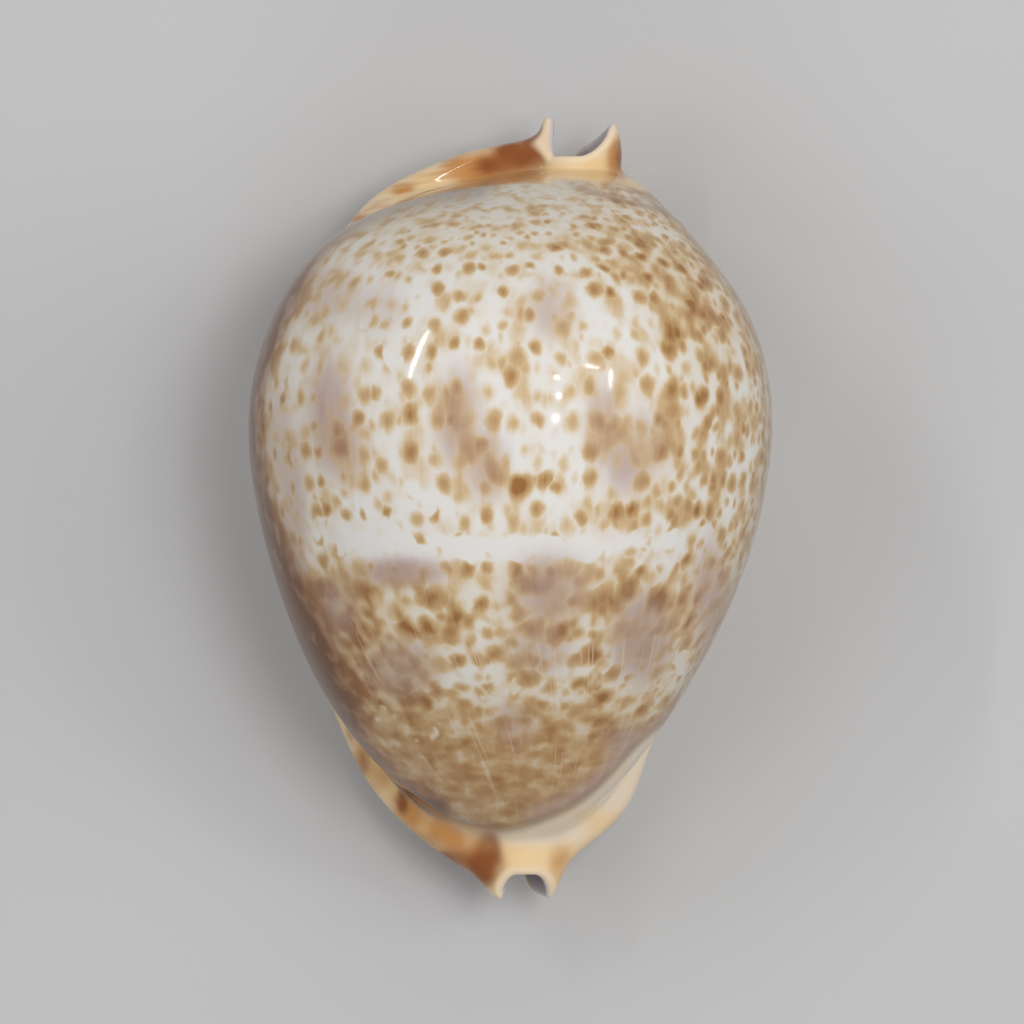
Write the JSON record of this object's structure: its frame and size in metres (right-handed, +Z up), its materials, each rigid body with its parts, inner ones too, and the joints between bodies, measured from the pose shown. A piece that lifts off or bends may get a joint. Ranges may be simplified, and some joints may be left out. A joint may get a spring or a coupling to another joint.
{
  "type": "cowrie shell",
  "caption": "Pear-shaped cowrie shell with a toothed aperture along its base and a notched canal at each end, resting on the base.",
  "frame": {"origin": "on the surface that the shell rests on, below the middle of its box", "axes": "+Z up through the back, +Y towards the broad hind end with the spire, +X towards the inner-lip side; the outer lip is on the -X side"},
  "size_m": [0.0599, 0.09, 0.05],
  "materials": {
    "shell_enamel": "high-gloss natural enamel: cool white back with ochre-brown spots and mauve patches, brown margins, cream base"
  },
  "bodies": {
    "root": {"shell": "shell_enamel"}
  },
  "joints": []
}
